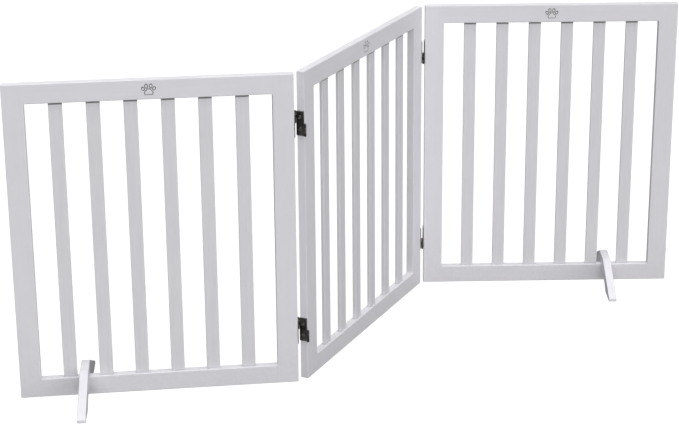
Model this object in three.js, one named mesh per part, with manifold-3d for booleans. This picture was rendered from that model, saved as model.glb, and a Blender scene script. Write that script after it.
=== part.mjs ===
import * as THREE from 'three';
import Module from 'manifold-3d';
import { mergeVertices } from 'three/addons/utils/BufferGeometryUtils.js';

// A folding, free-standing pet gate: three slatted wooden panels joined by
// double-action hinges, with a support foot saddled on each outer panel.
// Millimetres, +Z up. The origin is on the floor, under the middle of the
// middle panel. X runs along the gate from left to right, Y from front to back.

// --- Panels ---------------------------------------------------------------

const panelWidth = 520;
const panelHeight = 610;
const boardThickness = 15.6; // of the stiles and rails, front to back
const stileWidth = 39;
const topRailHeight = 37;
const bottomRailHeight = 36;
const boardEdgeRadius = 1.4;

const slatCount = 6;
const slatWidth = 24.8;
const slatThickness = 6.3;
const slatEdgeRadius = 1.2;
const slatSeatDepth = 10; // how far a slat's end goes into a rail

const tenonThickness = 5.6; // of the rail's tongue in the stile
const tenonLength = 18;
const tenonShoulder = 6; // rail left above and below its tongue

// --- Hinges ---------------------------------------------------------------

const leafHeight = 46.5;
const leafThickness = 1.1;
const leafEdgeInset = 0.3; // a leaf stops this far inside the panel's faces
const endGap = 5.4; // between the end faces of two panels that stand in line
const upperHingeDrop = 98.3; // from the panel's top to a leaf's middle
const lowerHingeRise = 101.8; // from the panel's bottom to a leaf's middle
const barrelRadius = 2.2;
const pinRadius = 1.0;
const pinHeadRadius = 1.8;
const pinHeadThickness = 0.8;
const knucklesPerPin = 3; // 0 and 2 on an outer leaf, 1 on the middle leaf
const neckOverlap = 1; // how far a knuckle's neck starts inside its leaf
const screwHoleRadius = 2.0;
const countersinkRadius = 3.4;
const accessHoleRadius = 4.0; // in the middle leaf, for the screwdriver
const screwSpacing = 23;

// --- Feet -----------------------------------------------------------------

const footThickness = 16;
const footHalfLength = 127;
const footCrownHeight = 56;
const footCrownHalfWidth = 24;
const footTipHeight = 7;
const footTipRadius = 2.5;
const footTipTurn = Math.PI / 3; // of the tip's round nose, from upright to the slope on top
const footPadInner = 76; // the flat pads run from here to the tips
const footArchHeight = 17; // of the underside, beside the rail
const footArchInner = 41; // the underside is level from the rail out to here
const rightFootOffset = -3; // from the middle of its bay between two slats
const leftFootTurn = - 3.5; // degrees that the left foot stands askew on its rail

// --- How the gate stands at rest, in degrees --------------------------------

const middlePanelTurn = 59.7;
const leftFold = 56.8;
const rightFold = 62.6;

// --- Clearances -----------------------------------------------------------

const glueGap = 0.3; // between pieces that are glued or screwed together
const knuckleGap = 0.4;
const pinClearance = 0.25;
const saddleClearance = 0.8; // each side of the rail, inside the foot
const footSlatGap = 6.5; // between the left foot and the slat beside it
const cutOverrun = 1; // how far a cut runs past the face that it opens

// --- Roundness ------------------------------------------------------------

const edgeSegments = 3;
const barrelSegments = 18;
const holeSegments = 12;
const footSegments = 5;

const wasm = await Module();
wasm.setup();

const whitePaint = new THREE.MeshStandardMaterial( { color: 0xe4e3e9, roughness: 0.45, metalness: 0 } );
const darkSteel = new THREE.MeshStandardMaterial( { color: 0x3b3936, roughness: 0.42, metalness: 0.85 } );
const pinSteel = new THREE.MeshStandardMaterial( { color: 0x55524d, roughness: 0.35, metalness: 0.9 } );

// --- Solids ---------------------------------------------------------------

function solidOf( geometry ) {

	const bare = geometry.clone();
	bare.deleteAttribute( 'normal' );
	bare.deleteAttribute( 'uv' );
	const merged = mergeVertices( bare );
	return new wasm.Manifold( new wasm.Mesh( {
		numProp: 3,
		vertProperties: new Float32Array( merged.attributes.position.array ),
		triVerts: new Uint32Array( merged.index.array ),
	} ) );

}

function geometryOf( solid ) {

	const { vertProperties, triVerts } = solid.getMesh();
	const geometry = new THREE.BufferGeometry();
	geometry.setAttribute( 'position', new THREE.BufferAttribute( vertProperties, 3 ) );
	geometry.setIndex( new THREE.BufferAttribute( triVerts, 1 ) );
	geometry.computeVertexNormals();
	return geometry;

}

function named( name, geometry, material ) {

	const mesh = new THREE.Mesh( geometry, material );
	mesh.name = name;
	return mesh;

}

// A box between two corners, given as [ x, y, z ] lists in either order.
function boxBetween( a, b ) {

	const size = a.map( ( value, i ) => Math.abs( b[ i ] - value ) );
	const middle = a.map( ( value, i ) => ( value + b[ i ] ) / 2 );
	return solidOf( new THREE.BoxGeometry( ...size ).translate( ...middle ) );

}

// An upright cylinder about the line x, y, between two heights.
function uprightCylinder( radius, x, y, z0, z1, segments ) {

	const geometry = new THREE.CylinderGeometry( radius, radius, Math.abs( z1 - z0 ), segments );
	return solidOf( geometry.rotateX( Math.PI / 2 ).translate( x, y, ( z0 + z1 ) / 2 ) );

}

function roundedRectangle( width, height, radius ) {

	const x = width / 2 - radius;
	const y = height / 2 - radius;
	const quarter = Math.PI / 2;
	const shape = new THREE.Shape();
	shape.absarc( x, y, radius, 0, quarter );
	shape.absarc( - x, y, radius, quarter, 2 * quarter );
	shape.absarc( - x, - y, radius, 2 * quarter, 3 * quarter );
	shape.absarc( x, - y, radius, 3 * quarter, 4 * quarter );
	return shape.closePath();

}

function extruded( shape, depth, curveSegments ) {

	return new THREE.ExtrudeGeometry( shape, { depth, curveSegments, bevelEnabled: false } );

}

// --- Panel ----------------------------------------------------------------
// A panel's own frame has its origin under the middle of the panel, with X
// along the panel and its front face at negative Y.

const openingWidth = panelWidth - 2 * stileWidth;
const bayWidth = ( openingWidth - slatCount * slatWidth ) / ( slatCount + 1 );
const openingTop = panelHeight - topRailHeight;

// The middle of slat 1 to slatCount, from the left.
function slatPlace( number ) {

	return - openingWidth / 2 + number * ( bayWidth + slatWidth ) - slatWidth / 2;

}

// The middle of the open bay to the right of a slat.
function bayPlace( number ) {

	return slatPlace( number ) + ( slatWidth + bayWidth ) / 2;

}

// A stile stands at one side of its panel: side is -1 on the left, 1 on the right.
function stile( side ) {

	const section = roundedRectangle( stileWidth, boardThickness, boardEdgeRadius );
	let solid = solidOf( extruded( section, panelHeight, edgeSegments ) );
	const innerFace = - side * stileWidth / 2;
	const pocketEnd = innerFace + side * ( tenonLength + glueGap );
	const halfPocket = tenonThickness / 2 + glueGap;
	const pockets = [
		[ tenonShoulder, bottomRailHeight - tenonShoulder ],
		[ openingTop + tenonShoulder, panelHeight - tenonShoulder ],
	];
	for ( const [ low, high ] of pockets ) {

		const pocket = boxBetween(
			[ innerFace - side * cutOverrun, - halfPocket, low - glueGap ],
			[ pocketEnd, halfPocket, high + glueGap ],
		);
		solid = solid.subtract( pocket );

	}

	const place = side * ( panelWidth - stileWidth ) / 2;
	return geometryOf( solid ).translate( place, 0, 0 );

}

// A rail lies between the stiles, with a tongue at each end and a seat for
// each slat. seatSide is 1 when the slats stand on top of it, -1 under it.
function rail( height, bottom, seatSide ) {

	const length = openingWidth - 2 * glueGap;
	const section = roundedRectangle( height, boardThickness, boardEdgeRadius );
	const board = extruded( section, length, edgeSegments ).rotateY( Math.PI / 2 );
	let solid = solidOf( board.translate( - length / 2, 0, bottom + height / 2 ) );

	const halfTongue = openingWidth / 2 + tenonLength;
	solid = solid.add( boxBetween(
		[ - halfTongue, - tenonThickness / 2, bottom + tenonShoulder ],
		[ halfTongue, tenonThickness / 2, bottom + height - tenonShoulder ],
	) );

	const seatFace = seatSide > 0 ? bottom + height : bottom;
	const seatWidth = slatWidth + 2 * glueGap;
	const seatThickness = slatThickness + 2 * glueGap;
	const seatEnd = seatFace - seatSide * ( slatSeatDepth + glueGap );
	for ( let number = 1; number <= slatCount; number ++ ) {

		const middle = slatPlace( number );
		const seat = boxBetween(
			[ middle - seatWidth / 2, - seatThickness / 2, seatFace + seatSide * cutOverrun ],
			[ middle + seatWidth / 2, seatThickness / 2, seatEnd ],
		);
		solid = solid.subtract( seat );

	}

	return geometryOf( solid );

}

function slat( number ) {

	const section = roundedRectangle( slatWidth, slatThickness, slatEdgeRadius );
	const bottom = bottomRailHeight - slatSeatDepth;
	const length = openingTop + slatSeatDepth - bottom;
	return extruded( section, length, edgeSegments ).translate( slatPlace( number ), 0, bottom );

}

function panel( name ) {

	const group = new THREE.Group();
	group.add( named( `${ name }_left_stile`, stile( - 1 ), whitePaint ) );
	group.add( named( `${ name }_right_stile`, stile( 1 ), whitePaint ) );
	group.add( named( `${ name }_top_rail`, rail( topRailHeight, openingTop, - 1 ), whitePaint ) );
	group.add( named( `${ name }_bottom_rail`, rail( bottomRailHeight, 0, 1 ), whitePaint ) );
	for ( let number = 1; number <= slatCount; number ++ ) {

		group.add( named( `${ name }_slat_${ number }`, slat( number ), whitePaint ) );

	}

	return group;

}

// --- Foot -----------------------------------------------------------------
// One board, cut as a low arch and saddled over the bottom rail. It stands on
// the floor on two pads, clear of the rail all round.

function foot( place, turn ) {

	const slotHalfWidth = boardThickness / 2 + saddleClearance;
	const slotTop = bottomRailHeight + glueGap;
	const tipCentre = footHalfLength - footTipRadius;
	const tipTop = footTipHeight - footTipRadius;

	const outline = new THREE.Shape();
	outline.moveTo( slotHalfWidth, slotTop );
	outline.lineTo( slotHalfWidth, footArchHeight );
	outline.lineTo( footArchInner, footArchHeight );
	outline.quadraticCurveTo( ( footArchInner + footPadInner ) / 2, footArchHeight, footPadInner, 0 );
	outline.lineTo( footHalfLength, 0 );
	outline.absarc( tipCentre, tipTop, footTipRadius, 0, footTipTurn );
	outline.lineTo( footCrownHalfWidth, footCrownHeight );
	outline.lineTo( - footCrownHalfWidth, footCrownHeight );
	outline.absarc( - tipCentre, tipTop, footTipRadius, Math.PI - footTipTurn, Math.PI );
	outline.lineTo( - footHalfLength, 0 );
	outline.lineTo( - footPadInner, 0 );
	outline.quadraticCurveTo( - ( footArchInner + footPadInner ) / 2, footArchHeight, - footArchInner, footArchHeight );
	outline.lineTo( - slotHalfWidth, footArchHeight );
	outline.lineTo( - slotHalfWidth, slotTop );
	outline.closePath();

	const board = extruded( outline, footThickness, footSegments );
	board.rotateX( Math.PI / 2 ).rotateZ( Math.PI / 2 );
	board.translate( - footThickness / 2, 0, 0 ).rotateZ( THREE.MathUtils.degToRad( turn ) );
	return board.translate( place, 0, 0 );

}

// --- Hinge ----------------------------------------------------------------
// A double-action hinge has three leaves and two pins. Its frame has its
// origin in the middle of the gap between two panels that stand in line. The
// back leaf is screwed to the left-hand panel and turns on the back pin, which
// takes the upper half of the hinge. The front leaf is screwed to the
// right-hand panel and turns on the front pin, in the lower half. The middle
// leaf joins the two pins.

const pinReach = boardThickness / 2 + barrelRadius + glueGap; // pin axis from mid-thickness
const halfLeaf = boardThickness / 2 - leafEdgeInset;
const knuckleHeight = leafHeight / 2 / knucklesPerPin - knuckleGap;

// The height of the lower end of knuckle 0, 1 or 2 above the hinge's middle.
function knuckleStart( index ) {

	return knuckleGap + index * ( knuckleHeight + knuckleGap );

}

// A knuckle and the neck that carries it. half is 1 for the back pin in the
// upper half, and -1 for the front pin in the lower half. The neck lies
// between x0 and x1, and starts inside the leaf's plate.
function knuckle( index, half, x0, x1 ) {

	const z0 = half * knuckleStart( index );
	const z1 = half * ( knuckleStart( index ) + knuckleHeight );
	const barrel = uprightCylinder( barrelRadius, 0, half * pinReach, z0, z1, barrelSegments );
	const neck = boxBetween( [ x0, half * ( halfLeaf - neckOverlap ), z0 ], [ x1, half * pinReach, z1 ] );
	return barrel.add( neck );

}

function pinBore( half ) {

	const radius = pinRadius + pinClearance;
	return uprightCylinder( radius, 0, half * pinReach, 0, half * leafHeight, holeSegments );

}

// A hole along X, wide enough at one end for a screw's countersunk head.
function screwHole( z, x0, radius0, x1, radius1 ) {

	const geometry = new THREE.CylinderGeometry( radius1, radius0, x1 - x0, holeSegments );
	return solidOf( geometry.rotateZ( - Math.PI / 2 ).translate( ( x0 + x1 ) / 2, 0, z ) );

}

// The leaf on one panel: half is 1 for the back leaf, which lies on the
// left-hand panel, and -1 for the front leaf on the right-hand panel.
function outerLeaf( half ) {

	const woodSide = - half * ( endGap / 2 - glueGap );
	const openSide = woodSide + half * leafThickness;
	const x0 = Math.min( woodSide, openSide );
	const x1 = Math.max( woodSide, openSide );
	let solid = boxBetween( [ x0, - halfLeaf, - leafHeight / 2 ], [ x1, halfLeaf, leafHeight / 2 ] );
	solid = solid.add( knuckle( 0, half, x0, x1 ) ).add( knuckle( 2, half, x0, x1 ) );
	solid = solid.subtract( pinBore( half ) );

	const [ radius0, radius1 ] = half > 0
		? [ screwHoleRadius, countersinkRadius ]
		: [ countersinkRadius, screwHoleRadius ];
	for ( const z of [ - screwSpacing / 2, screwSpacing / 2 ] ) {

		solid = solid.subtract( screwHole( z, x0, radius0, x1, radius1 ) );

	}

	return geometryOf( solid );

}

function middleLeaf() {

	const x = leafThickness / 2;
	let solid = boxBetween( [ - x, - halfLeaf, - leafHeight / 2 ], [ x, halfLeaf, leafHeight / 2 ] );
	for ( const half of [ - 1, 1 ] ) {

		solid = solid.add( knuckle( 1, half, - x, x ) ).subtract( pinBore( half ) );

	}

	for ( const z of [ - screwSpacing / 2, screwSpacing / 2 ] ) {

		solid = solid.subtract( screwHole( z, - x - cutOverrun, accessHoleRadius, x + cutOverrun, accessHoleRadius ) );

	}

	return geometryOf( solid );

}

// A pin with a flat head at each end, just clear of the knuckles.
function pin( half ) {

	const low = knuckleStart( 0 ) - knuckleGap;
	const high = leafHeight / 2;
	const middle = half * ( low + high ) / 2;
	const reach = ( high - low ) / 2 + pinHeadThickness;
	const profile = [
		[ 0, - reach ],
		[ pinHeadRadius, - reach ],
		[ pinHeadRadius, - reach + pinHeadThickness ],
		[ pinRadius, - reach + pinHeadThickness ],
		[ pinRadius, reach - pinHeadThickness ],
		[ pinHeadRadius, reach - pinHeadThickness ],
		[ pinHeadRadius, reach ],
		[ 0, reach ],
	].map( ( [ radius, height ] ) => new THREE.Vector2( radius, height ) );
	const geometry = new THREE.LatheGeometry( profile, holeSegments );
	return geometryOf( solidOf( geometry ) ).rotateX( Math.PI / 2 ).translate( 0, half * pinReach, middle );

}

// --- Gate -----------------------------------------------------------------
// A hinge pair's pieces go into three groups, which share the hinge's frame
// when the panels stand in line: the left-hand panel's, the link's and the
// right-hand panel's.

const hingeHeights = {
	upper: panelHeight - upperHingeDrop,
	lower: lowerHingeRise,
};

function addHingePair( name, leftHand, link, rightHand ) {

	for ( const [ level, height ] of Object.entries( hingeHeights ) ) {

		const hinge = `${ name }_${ level }_hinge`;
		const pieces = [
			[ leftHand, named( `${ hinge }_back_leaf`, outerLeaf( 1 ), darkSteel ) ],
			[ link, named( `${ hinge }_middle_leaf`, middleLeaf(), darkSteel ) ],
			[ link, named( `${ hinge }_back_pin`, pin( 1 ), pinSteel ) ],
			[ link, named( `${ hinge }_front_pin`, pin( - 1 ), pinSteel ) ],
			[ rightHand, named( `${ hinge }_front_leaf`, outerLeaf( - 1 ), darkSteel ) ],
		];
		for ( const [ holder, piece ] of pieces ) {

			piece.position.z = height;
			holder.add( piece );

		}

	}

}

// A group inside the hinge's frame that turns by some degrees about a pin.
function turnedAboutPin( half, degrees ) {

	const pivot = new THREE.Group();
	pivot.position.y = half * pinReach;
	pivot.rotation.z = THREE.MathUtils.degToRad( degrees );
	const held = new THREE.Group();
	held.position.y = - half * pinReach;
	pivot.add( held );
	return { pivot, held };

}

const halfPitch = ( panelWidth + endGap ) / 2; // from a panel's middle to a hinge's
const gate = new THREE.Group();
gate.rotation.z = THREE.MathUtils.degToRad( middlePanelTurn );
gate.add( panel( 'middle' ) );

// The left panel is folded back on the back pins of the left-hand hinges.
const leftHinge = new THREE.Group();
leftHinge.position.x = - halfPitch;
const leftTurn = turnedAboutPin( 1, - leftFold );
const leftPanel = panel( 'left' );
const leftFootPlace = slatPlace( 1 ) + ( slatWidth + footThickness ) / 2 + footSlatGap;
leftPanel.add( named( 'left_foot', foot( leftFootPlace, leftFootTurn ), whitePaint ) );
leftPanel.position.x = - halfPitch;
leftTurn.held.add( leftPanel );
leftHinge.add( leftTurn.pivot );
addHingePair( 'left', leftTurn.held, leftHinge, leftHinge );
gate.add( leftHinge );

// The right panel is folded forward on the front pins of the right-hand hinges.
const rightHinge = new THREE.Group();
rightHinge.position.x = halfPitch;
const rightTurn = turnedAboutPin( - 1, - rightFold );
const rightPanel = panel( 'right' );
const rightFootPlace = bayPlace( slatCount - 1 ) + rightFootOffset;
rightPanel.add( named( 'right_foot', foot( rightFootPlace, 0 ), whitePaint ) );
rightPanel.position.x = halfPitch;
rightTurn.held.add( rightPanel );
rightHinge.add( rightTurn.pivot );
addHingePair( 'right', rightHinge, rightHinge, rightTurn.held );
gate.add( rightHinge );

export default gate;
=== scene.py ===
"""Looks of a folding, free-standing pet gate.

Three slatted panels of painted wood stand in a zigzag on double-action hinges, and a foot is
saddled over the bottom rail of each outer panel. Everything is in metres, in the frame of the
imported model: X runs along the gate, Y from front to back, and Z up from the floor.
"""

import logging
import math
from dataclasses import dataclass, field
from enum import Enum

import bmesh
import bpy
import numpy as np
from mathutils import Matrix, Vector


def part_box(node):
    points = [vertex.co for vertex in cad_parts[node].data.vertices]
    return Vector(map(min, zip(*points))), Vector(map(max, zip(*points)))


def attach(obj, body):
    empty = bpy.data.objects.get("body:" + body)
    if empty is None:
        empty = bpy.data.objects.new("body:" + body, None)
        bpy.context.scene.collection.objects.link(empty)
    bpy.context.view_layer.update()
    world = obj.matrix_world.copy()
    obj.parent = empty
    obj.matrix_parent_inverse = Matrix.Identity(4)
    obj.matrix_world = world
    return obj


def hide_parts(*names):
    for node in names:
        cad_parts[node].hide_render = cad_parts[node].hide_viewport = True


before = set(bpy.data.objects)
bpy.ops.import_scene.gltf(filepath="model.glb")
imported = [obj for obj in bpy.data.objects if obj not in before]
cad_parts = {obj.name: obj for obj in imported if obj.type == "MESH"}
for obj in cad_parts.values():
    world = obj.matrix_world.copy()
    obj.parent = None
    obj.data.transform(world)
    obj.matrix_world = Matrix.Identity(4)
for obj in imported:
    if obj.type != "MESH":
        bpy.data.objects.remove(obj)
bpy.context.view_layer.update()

Array = np.ndarray
log = logging.getLogger("pet_gate")

MM = 0.001
SHARP_ARRIS = 0.05 * MM  # the radius of an edge that runs out against another board
SUPPORT = 0.3 * MM  # a flat face's first ring inside its rounded edge, which keeps it flat
MERGE = 0.001 * MM


class Side(Enum):
    """The two ends of a panel, as signs along its X axis."""

    LEFT = -1
    RIGHT = 1


class Pin(Enum):
    """The two pins of a hinge, as signs along its Y axis; the back pin has the upper half."""

    BACK = 1
    FRONT = -1


class Attribute(Enum):
    """The values that a piece's mesh carries for its material."""

    # the share of painted shade: paint darkened where shade falls in grooves, seats and recesses
    GRAIN = "grain_place"
    PAINTED_SHADE = "painted_shade"
    # 1 on an arris: glossier paint there, and a painted highlight on metal
    EDGE = "edge"


# --- Frames and closed surfaces -------------------------------------------


@dataclass(frozen=True)
class Place:
    """A level frame on the floor plan: its origin, and the turn of its X axis in radians."""

    origin: tuple[float, float, float]
    turn: float

    def axes(self) -> Array:
        """The frame's three axes as rows: (cos, sin, 0), (-sin, cos, 0) and (0, 0, 1)."""
        c, s = math.cos(self.turn), math.sin(self.turn)
        return np.array(((c, s, 0.0), (-s, c, 0.0), (0.0, 0.0, 1.0)))

    def world(self, points: Array) -> Array:
        """Points of this frame in the model's frame: turned by the axes, then moved."""
        return points @ self.axes() + np.array(self.origin)

    def local(self, points: Array) -> Array:
        """Points of the model's frame in this frame: moved back, then turned back."""
        return (points - np.array(self.origin)) @ self.axes().T

    def moved(self, x: float = 0.0, z: float = 0.0) -> "Place":
        """The same frame with its origin moved along its own X and Z."""
        return Place(tuple(self.world(np.array((x, 0.0, z)))), self.turn)


def node_points(node: str) -> Array:
    """The corners of a CAD node at rest, in the model's frame.

    Args:
        node: the CAD node's name.

    Returns:
        An array of shape (corners, 3).
    """
    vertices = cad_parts[node].data.vertices
    flat = np.empty(len(vertices) * 3, np.float32)
    vertices.foreach_get("co", flat)
    return flat.reshape(-1, 3).astype(float)


def local_box(node: str, place: Place) -> tuple[Array, Array]:
    """The lowest and highest corner of a CAD node, measured in a frame."""
    points = place.local(node_points(node))
    return points.min(0), points.max(0)


def node_centre(node: str) -> Array:
    """The middle of a CAD node's box in the model's frame."""
    low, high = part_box(node)
    return (np.array(low) + np.array(high)) / 2


@dataclass
class Skin:
    """A closed surface, with what its material wants to know at each point.

    points is (n, 3). grain is (n, 3): along the grain, across it, and through the board.
    hollow is the share of painted shade, 1 in a groove, recess or tight corner, and edge is 1
    on a rounded arris, where metal gets a painted highlight.
    """

    points: Array
    faces: list[list[int]]
    grain: Array
    painted_shade: Array
    edge: Array

    @staticmethod
    def of_grid(points: Array, grain: Array, painted_shade: Array | None = None,
                edge: Array | None = None, loop: bool = False) -> "Skin":
        """A skin over a grid whose columns run round a closed section.

        Each quad joins a point to its neighbour round the section and to the same two points of
        the next row. The first and last rows are closed by one face each, or joined in a loop.

        Args:
            points: (rows, columns, 3).
            grain: (rows, columns, 3).
            painted_shade: (rows, columns), the share of painted shade, or None for 0 all over.
            edge: (rows, columns), or None for 0 all over.
            loop: True if the last row joins the first.

        Returns:
            The skin.
        """
        rows, columns = points.shape[:2]
        index = np.arange(rows * columns).reshape(rows, columns)
        low = index if loop else index[:-1]
        high = np.roll(index, -1, axis=0) if loop else index[1:]
        quads = np.stack((low, np.roll(low, -1, 1), np.roll(high, -1, 1), high), -1)
        faces = quads.reshape(-1, 4).tolist()
        if not loop:
            faces += [index[0, ::-1].tolist(), index[-1].tolist()]
        empty = np.zeros((rows, columns))
        return Skin(points.reshape(-1, 3), faces, grain.reshape(-1, 3),
                    (empty if painted_shade is None else painted_shade).reshape(-1),
                    (empty if edge is None else edge).reshape(-1))

    @staticmethod
    def joined(skins: list["Skin"]) -> "Skin":
        """Several skins as one, with each one's faces counted on from the last one's points.

        Args:
            skins: the skins, in order.

        Returns:
            The one skin.
        """
        starts = np.cumsum([0] + [len(skin.points) for skin in skins])
        faces = [[corner + int(start) for corner in face]
                 for skin, start in zip(skins, starts) for face in skin.faces]
        points, grain, painted_shade, edge = (np.concatenate([getattr(skin, part) for skin in skins])
                                       for part in ("points", "grain", "painted_shade", "edge"))
        return Skin(points, faces, grain, painted_shade, edge)


@dataclass
class Maker:
    """Turns skins into finished pieces that ride on the CAD bodies."""

    crease: float = math.radians(38)  # faces that meet more steeply keep a sharp edge
    made: int = 0

    def mesh(self, name: str, skin: Skin, place: Place, crease: float) -> bpy.types.Mesh:
        """The skin's mesh in the model's frame, merged, facing outwards and smooth-shaded.

        Args:
            name: the mesh's name.
            skin: its surface, in the frame of place.
            place: where that frame stands.
            crease: the steepest turn between faces that stays smooth.

        Returns:
            The mesh.
        """
        mesh = bpy.data.meshes.new(name)
        mesh.from_pydata(place.world(skin.points).tolist(), [], skin.faces)
        grain = mesh.attributes.new(Attribute.GRAIN.value, "FLOAT_VECTOR", "POINT")
        grain.data.foreach_set("vector", skin.grain.astype(np.float32).ravel())
        for attribute, values in ((Attribute.PAINTED_SHADE, skin.painted_shade), (Attribute.EDGE, skin.edge)):
            layer = mesh.attributes.new(attribute.value, "FLOAT", "POINT")
            layer.data.foreach_set("value", values.astype(np.float32))
        work = bmesh.new()
        work.from_mesh(mesh)
        bmesh.ops.remove_doubles(work, verts=work.verts, dist=MERGE)
        bmesh.ops.recalc_face_normals(work, faces=work.faces)
        work.to_mesh(mesh)
        work.free()
        mesh.polygons.foreach_set("use_smooth", [True] * len(mesh.polygons))
        mesh.set_sharp_from_angle(angle=crease)
        return mesh

    def piece(self, name: str, skin: Skin, place: Place, material: bpy.types.Material,
              body: str, slot: str, node: str | None = None,
              crease: float | None = None) -> bpy.types.Object:
        """A finished piece.

        Args:
            name: the piece's name.
            skin: its surface, in the frame of place.
            place: where that frame stands.
            material: its finish.
            body: the CAD body that it rides on.
            slot: the record's material slot; not used.
            node: the CAD node that it stands for, if any.
            crease: the steepest turn between faces that stays smooth, or None for the usual.

        Returns:
            The object.
        """
        mesh = self.mesh(name, skin, place, self.crease if crease is None else crease)
        obj = bpy.data.objects.new(name, mesh)
        bpy.context.scene.collection.objects.link(obj)
        obj.data.materials.append(material)
        if node:
            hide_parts(node)
        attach(obj, body)
        self.made += 1
        log.info("%s: %d faces, rides on %s", name, len(obj.data.polygons), body)
        return obj


# --- Shapes ---------------------------------------------------------------


def rounded_sections(low: Array, high: Array, radii: Array, steps: int = 4,
                     front: Array | None = None) -> tuple[Array, Array]:
    """Rounded rectangles in the plane of two axes, a and b, one for each station.

    A corner is a quarter circle about a point one radius in from both sides. A supporting
    point follows on the straight at each end of it, along the direction of travel.

    Args:
        low: (rows, 2), the lowest a and b.
        high: (rows, 2), the highest a and b.
        radii: (rows, 4), for the corners (+, +), (-, +), (-, -) and (+, -).
        steps: segments in a quarter circle.
        front: extra values of a on the side of lowest b.

    Returns:
        Points (rows, columns, 2), and an edge value for each column.
    """
    rows = len(low)
    columns, edge = [], []
    for number, (a_side, b_side) in enumerate(((1, 1), (-1, 1), (-1, -1), (1, -1))):
        turns = np.linspace(0.0, math.pi / 2, steps + 1) + number * math.pi / 2
        ray = np.stack((np.cos(turns), np.sin(turns)), -1)
        radius = radii[:, number, None]
        signs = np.array((a_side, b_side))
        middle = np.where(signs > 0, high - radius, low + radius)
        arc = middle[:, None] + radius[:, None] * ray
        travel = np.stack((-ray[:, 1], ray[:, 0]), -1)
        before = arc[:, :1] - SUPPORT * travel[0]
        after = arc[:, -1:] + SUPPORT * travel[-1]
        columns += [before, arc, after]
        edge += [0.0] + [1.0] * (steps + 1) + [0.0]
        if number == 2 and front is not None:
            b = np.broadcast_to(low[:, None, 1], (rows, len(front)))
            columns.append(np.stack((np.broadcast_to(front, b.shape), b), -1))
            edge += [0.0] * len(front)
    return np.concatenate(columns, 1), np.array(edge)


def quarter_round(radius: float, steps: int = 4) -> tuple[Array, Array]:
    """A quarter round at a board's end, from the end face inwards.

    At turn t the surface lies radius * (1 - sin t) in from the end and radius * (1 - cos t) in
    from the sides. A supporting ring lies inside the end face.

    Args:
        radius: of the round.
        steps: segments in it.

    Returns:
        Distances in from the end, and insets from the sides.
    """
    t = np.linspace(math.pi / 2, 0.0, steps + 1)
    depth = np.concatenate(([0.0], radius * (1 - np.sin(t)), [radius + SUPPORT]))
    inset = np.concatenate(([radius + SUPPORT], radius * (1 - np.cos(t)), [0.0]))
    return depth, inset


def smooth_step(values: Array) -> Array:
    """Values held between 0 and 1, then eased as 3v^2 - 2v^3."""
    held = np.clip(values, 0.0, 1.0)
    return held * held * (3.0 - 2.0 * held)


def turned_profile(radius: Array, along: Array, sides: int) -> Array:
    """A profile turned about an axis: (r cos t, r sin t, s) for each radius r and distance s.

    Args:
        radius: (rows,), out from the axis.
        along: (rows,), along the axis.
        sides: of the turned shape.

    Returns:
        Points (rows, sides, 3).
    """
    t = np.linspace(0.0, 2 * math.pi, sides, endpoint=False)
    return np.stack((radius[:, None] * np.cos(t), radius[:, None] * np.sin(t),
                     np.repeat(along[:, None], sides, 1)), -1)


@dataclass(frozen=True)
class PawGroove:
    """An outlined paw print, cut as a shallow groove in a top rail: one pad and four toes."""

    size: float = 1.16
    width: float = 1.9 * MM
    depth: float = 1.0 * MM
    flank: float = 1.5  # above 1, so that the groove's floor has some width
    step: float = 0.24 * MM
    half_extent: tuple[float, float] = (13.6 * MM, 12.0 * MM)
    pad_middle: tuple[float, float] = (0.0, -4.3 * MM)
    pad_radius: float = 5.4 * MM
    pad_lobe: float = 0.9 * MM
    # each toe: middle across and up, half width, half height, and lean in degrees
    toes: tuple[tuple[float, float, float, float, float], ...] = (
        (3.5, 5.3, 2.2, 3.2, -10.0), (8.4, 1.2, 2.0, 2.9, -28.0))

    def ring_distance(self, x: Array, z: Array) -> Array:
        """Distance to the nearest outline.

        A toe is an ellipse: its distance is |q - 1| times its half width, where q is the length
        of the point's place measured in half axes. The pad's radius at angle t is
        radius + lobe cos 2t - lobe sin 3t, and its distance is the radial one.

        Args:
            x: across, from the print's middle.
            z: up, from the print's middle.

        Returns:
            The distance at each point.
        """
        x, z = x / self.size, z / self.size
        dx, dz = x - self.pad_middle[0], z - self.pad_middle[1]
        t = np.arctan2(dz, dx)
        reach = self.pad_radius + self.pad_lobe * (np.cos(2 * t) - np.sin(3 * t))
        nearest = np.abs(np.hypot(dx, dz) - reach)
        for across, up, half_width, half_height, lean in self.toes:
            turn = math.radians(lean)
            dx, dz = np.abs(x) - across * MM, z - up * MM
            u = (dx * math.cos(turn) + dz * math.sin(turn)) / (half_width * MM)
            v = (dz * math.cos(turn) - dx * math.sin(turn)) / (half_height * MM)
            nearest = np.minimum(nearest, np.abs(np.hypot(u, v) - 1) * half_width * MM)
        return nearest * self.size

    def share(self, x: Array, z: Array) -> Array:
        """1 on the groove's middle line, easing to 0 at its sides."""
        return smooth_step(self.flank * (1.0 - self.ring_distance(x, z) / (self.width / 2)))

    def lines(self, axis: int) -> Array:
        """Grid lines over the print along one axis."""
        half = self.half_extent[axis]
        return np.linspace(-half, half, int(round(2 * half / self.step)) + 1)


# --- Finishes -------------------------------------------------------------


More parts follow.
